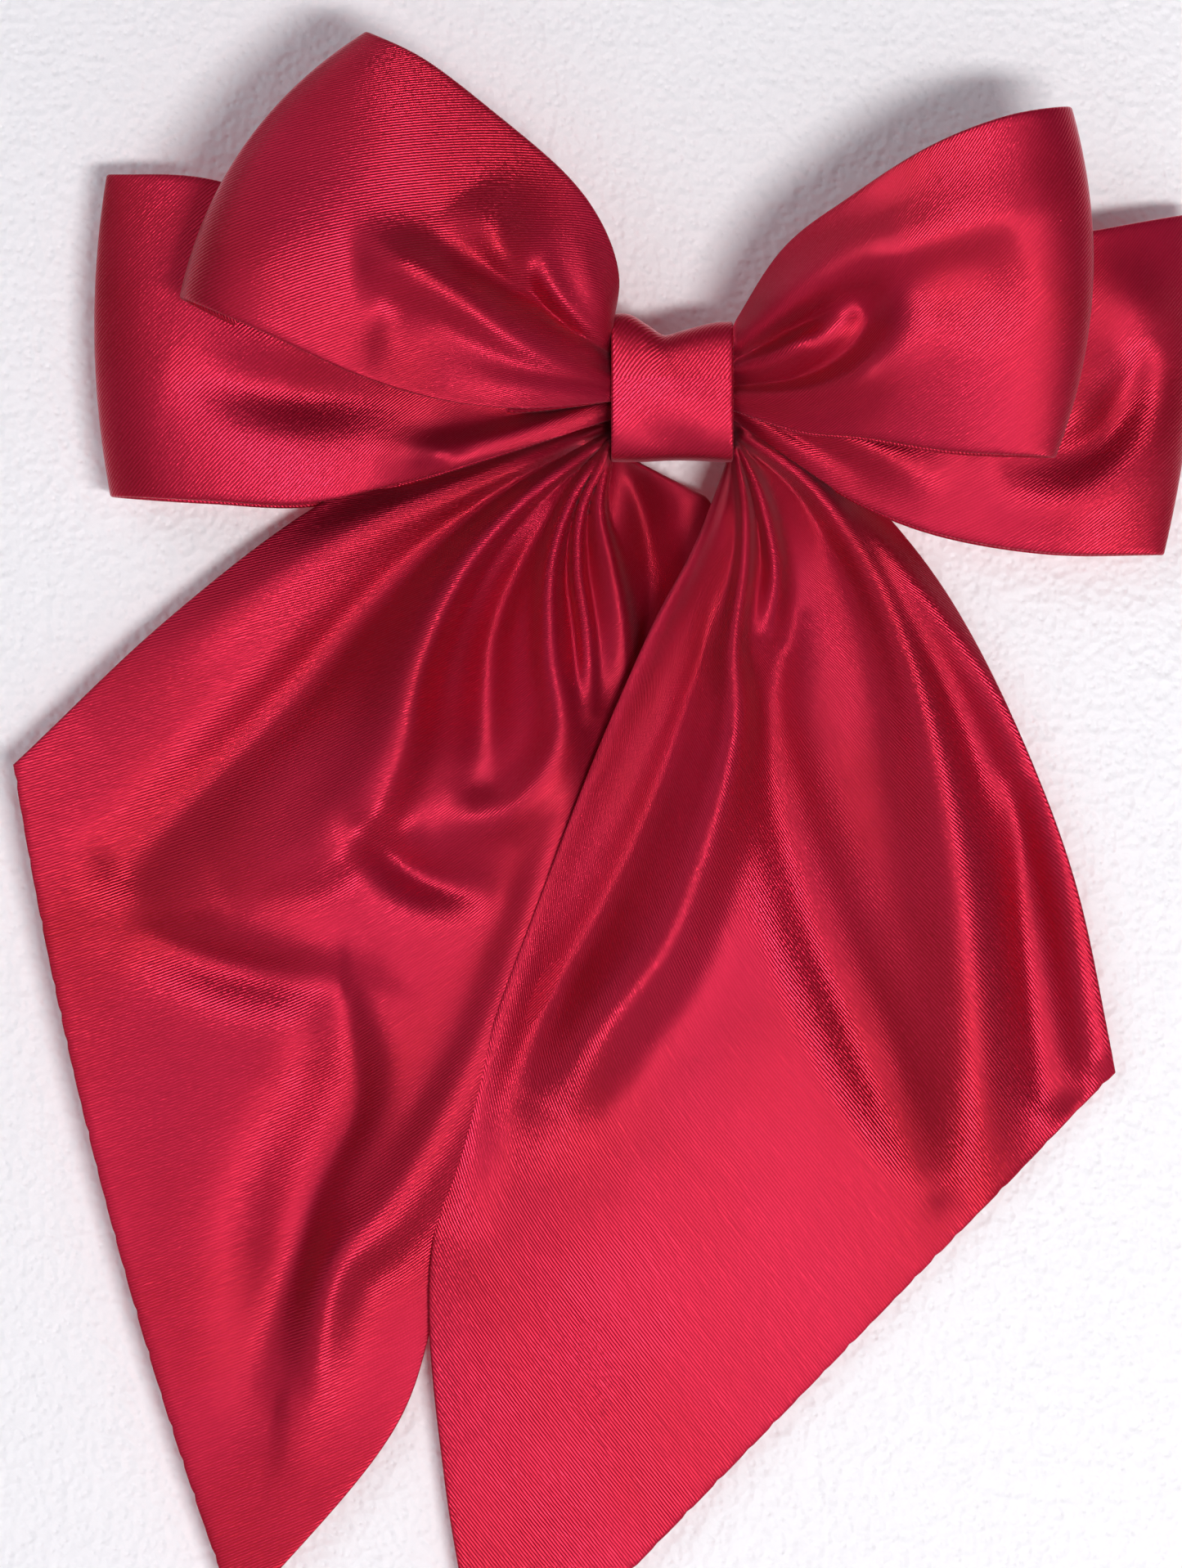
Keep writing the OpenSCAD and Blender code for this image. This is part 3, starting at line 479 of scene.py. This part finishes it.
right_tail = tail(
    "right_satin_tail", 1,
    [(12.5, gather_low), (5, -34), (-4, -51), (-16, -78), (-27, -106), (-40, -142), (-50, -182), (-47, -228),
     (-38, -277)],
    [(12.5, gather_high), (24, -10), (40, -22), (57, -43), (72, -72), (84, -104), (92.5, -143)],
    right_knot_y, lambda s, t: rest_y - 1 - 3.6 * (1 - s), 0,
    [
        ([(12.6, -9), (32, -22), (50, -42), (69, -69), (82, -101), (89, -138)], (1, 3.6, 5, 6, 5.4, 3),
         (0.8, 2.6, 4.6, 5.4, 6, 6), 0),
        ([(72, -84), (75, -112), (80, -146)], (-1, -4, -3), (3.4, 4.4, 5), 0),
        ([(12.6, -10.6), (28, -21), (40, -38), (50, -60), (57, -88), (61.5, -118), (64, -146), (68, -168)],
         (1.4, 4.6, 5.4, 6.2, 6.4, 6, 4.6, 1), (0.7, 2.2, 3.4, 5.4, 8, 9, 9, 9), -0.05),
        ([(24, -48), (21, -70), (29, -104), (43, -140), (54, -166)], (-1.4, -5, -6, -5, -1),
         (4, 6.4, 8, 7, 5), 0),
        ([(12.6, -12), (18.4, -24), (21.4, -38), (20.6, -51)], (1.4, 4, 4.6, 2), (0.5, 1.5, 2, 3), 0),
        ([(12.6, -13), (15, -26), (15, -38), (12.8, -55), (13, -74), (1, -112), (-14, -134), (-22, -152)],
         (1.6, 4.4, 5, 5.4, 6, 6, 5.4, 1), (0.5, 1.2, 1.6, 2.6, 4.6, 7, 8, 8), -0.1),
        ([(8, -44), (4, -64), (-6, -92), (-22, -124), (-32, -146)], (-0.4, -2.4, -3, -3.4, -0.6),
         (1.6, 3, 4.4, 5, 5), 0),
        ([(12.6, -14), (7, -30), (-3, -50), (-15, -76), (-27, -104), (-38, -140), (-44, -168)],
         (1.2, 4, 4.4, 4.4, 4, 3.6, 1), (0.5, 1.8, 3, 4, 5, 5, 6), 0),
    ], 7)
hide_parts("left_tail")
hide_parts("right_tail")

# ---- Centre band ----
# A strip of the same satin, folded to 25 mm, that wraps the whole knot and is stitched at its back. The
# thread under it pulls it in at the middle, which leaves a dip in its top edge.
band_t, band_steps, band_rows = 1, 44, 160
squareness = 4.4
band_low, band_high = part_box("centre_band")
band_low, band_high = np.array(band_low) / mm + band_t / 2, np.array(band_high) / mm - band_t / 2
band_depth, band_middle = (band_high[1] - band_low[1]) / 2, (band_high[1] + band_low[1]) / 2


def wrapped_band():
    """The band: turn goes about the knot, from its front, and v across from left to right. Its section is
    a rounded rectangle, |y / depth| to the power squareness plus |z / height| to the same power = 1. The
    heights of its top and its bottom follow curves across, and shallow buckles cross its front."""
    v, round_edge = steps_across(2 * knot_half, band_t, band_steps)
    turn, across = np.meshgrid(np.linspace(0, 2 * np.pi, band_rows + 1)[:-1], v, indexing="ij")
    power = 2 / squareness
    cy, cz = np.cos(turn), np.sin(turn)
    y = -np.sign(cy) * np.abs(cy) ** power
    z = np.sign(cz) * np.abs(cz) ** power
    x = -knot_half + 2 * knot_half * across
    top = through([12.9, 12.9, 10.8, 8.6, 9.4, 10.4, 11.2, 11.4], across)[..., 0]
    bottom = through([-16.2, -16.2, -15.9, -16.0, -16.4], across)[..., 0]
    place = np.stack([x, np.where(z > 0, z * top, -z * bottom)], -1)
    front = ramp(-y * 2)
    buckles = raised(place, [
        ([(-9, 2), (0, -3), (9, -9)], (0.1, 0.5, 0.1), (4, 5, 4), 0),
        ([(-9, -10.5), (-1, -13), (7, -12)], (0, -0.5, 0), (3, 3, 3), 0),
        ([(-8, 10), (-6, 5)], (-0.3, 0), (2.4, 2.4), 0),
    ])
    y = band_middle + y * band_depth - front * buckles
    middle = np.stack([x, y, place[..., 1]], -1)
    half = np.broadcast_to(band_t / 2 * round_edge, middle.shape[:2])
    spread, length = unrolled(middle, v, 2 * knot_half)
    return ribbon("centre_satin_band", middle, half, spread, ring=True), length


band, band_length = wrapped_band()
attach(band, "bow")
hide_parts("centre_band")

# ---- Sewing thread ----
# Dark red polyester thread holds everything: turns that pinch the loops and the tails, small stitches
# that close the band at its back, and loops that tie the barrette on. It is three fine strands, twisted.
thread, thread_tree = finish_named("dark_red_thread")
place = add(thread_tree, "TexCoord").outputs["Object"]
slanted = add(thread_tree, "Mapping", {"Vector": place, "Rotation": (0.6, 0.5, 0.8)}).outputs[0]
strands = add(thread_tree, "TexWave", {"Vector": slanted, "Scale": 900.0, "Distortion": 1.0})
strand_tone = add(thread_tree, "ValToRGB", {"Fac": strands.outputs["Fac"]})
strand_tone.color_ramp.elements[0].color = (0.14, 0.002, 0.008, 1)
strand_tone.color_ramp.elements[1].color = (0.40, 0.008, 0.028, 1)
twist = add(thread_tree, "Bump", {"Height": strands.outputs["Fac"], "Strength": 0.6, "Distance": 0.12 * mm})
fibre = add(thread_tree, "BsdfPrincipled", {
    "Base Color": strand_tone.outputs[0], "Roughness": 0.55, "Normal": twist.outputs[0],
    "Sheen Weight": 0.3})
add(thread_tree, "OutputMaterial", {"Surface": fibre.outputs[0]})


def refinish(nodes, material):
    """Gives CAD nodes a new finish, and leaves their meshes alone."""
    for name in nodes:
        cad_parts[name].data.materials.clear()
        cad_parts[name].data.materials.append(material)


refinish(["front_gather_thread", "back_gather_thread", "tail_gather_thread", "band_seam_stitches",
          "clip_stitches"], thread)


# ---- Barrette ----
# A French barrette, stamped from nickelled spring steel: an arched base plate with hinge ears, a clasp
# arm on a riveted pin, a leaf spring between them, and a two-pronged catch riveted to the plate's end.
def nickelled(name, tone, roughness, brush_scale):
    """Nickelled steel with fine rolling marks along X, faint stains and a slightly worn, duller skin."""
    metal, tree = finish_named(name)
    place = add(tree, "TexCoord").outputs["Object"]
    long_marks = add(tree, "Mapping", {"Vector": place, "Scale": (0.04, 1, 1)}).outputs[0]
    marks = add(tree, "TexNoise", {"Vector": long_marks, "Scale": brush_scale, "Detail": 4.0})
    stains = add(tree, "TexNoise", {"Vector": place, "Scale": 180.0, "Detail": 5.0})
    tint = add(tree, "ValToRGB", {"Fac": stains.outputs["Fac"]})
    tint.color_ramp.elements[0].color = (*[0.82 * c for c in tone], 1)
    tint.color_ramp.elements[1].color = (*tone, 1)
    dull = add(tree, "MapRange", {0: marks.outputs["Fac"], 3: roughness - 0.06, 4: roughness + 0.10})
    brushed = add(tree, "Bump", {"Height": marks.outputs["Fac"], "Strength": 0.25, "Distance": 0.05 * mm})
    steel = add(tree, "BsdfPrincipled", {
        "Base Color": tint.outputs[0], "Metallic": 1.0, "Roughness": dull.outputs[0],
        "Normal": brushed.outputs[0]})
    add(tree, "OutputMaterial", {"Surface": steel.outputs[0]})
    return metal


refinish(["clip_base", "hinge_pin", "clasp_arm", "catch_bracket", "catch_rivet"],
         nickelled("nickelled_steel", (0.72, 0.70, 0.67), 0.26, 5200.0))
refinish(["tension_bar", "catch_prong_upper", "catch_prong_lower"],
         nickelled("spring_steel", (0.62, 0.61, 0.60), 0.20, 7000.0))
